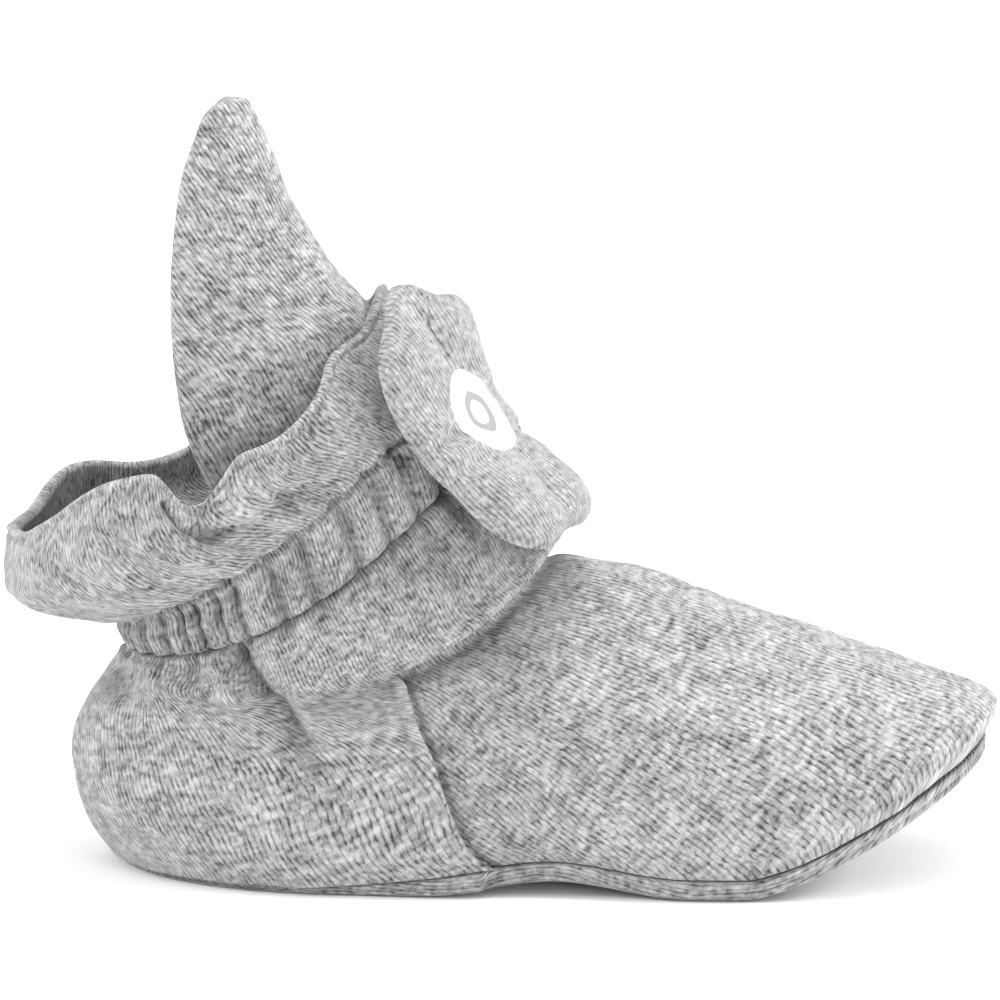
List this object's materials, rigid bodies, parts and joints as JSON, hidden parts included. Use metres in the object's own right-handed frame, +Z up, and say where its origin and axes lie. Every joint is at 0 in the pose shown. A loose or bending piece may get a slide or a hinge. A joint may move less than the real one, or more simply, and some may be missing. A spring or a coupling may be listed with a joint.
{
  "type": "bootie slipper",
  "caption": "Soft baby bootie: jersey sole and hollow upper, gathered elastic ankle band with frill, tall pointed tongue and padded closure tab.",
  "frame": {"origin": "the flat spot under the heel, on the floor, in the middle of the sole", "axes": "+X to the toe, +Z up, -Y to the side the closure tab is turned to"},
  "size_m": [0.1301, 0.0556, 0.1002],
  "materials": {
    "sole_jersey": "padded grey heather jersey",
    "foot_bed_jersey": "plain grey jersey lining",
    "grey_jersey": "soft light grey heather jersey",
    "tongue_jersey": "soft light grey heather jersey, two layers",
    "tab_jersey": "padded light grey heather jersey with a round white print"
  },
  "bodies": {
    "root": {"sole": "sole_jersey", "insole": "foot_bed_jersey", "upper": "grey_jersey", "tongue": "tongue_jersey", "closure_tab": "tab_jersey"}
  },
  "joints": []
}
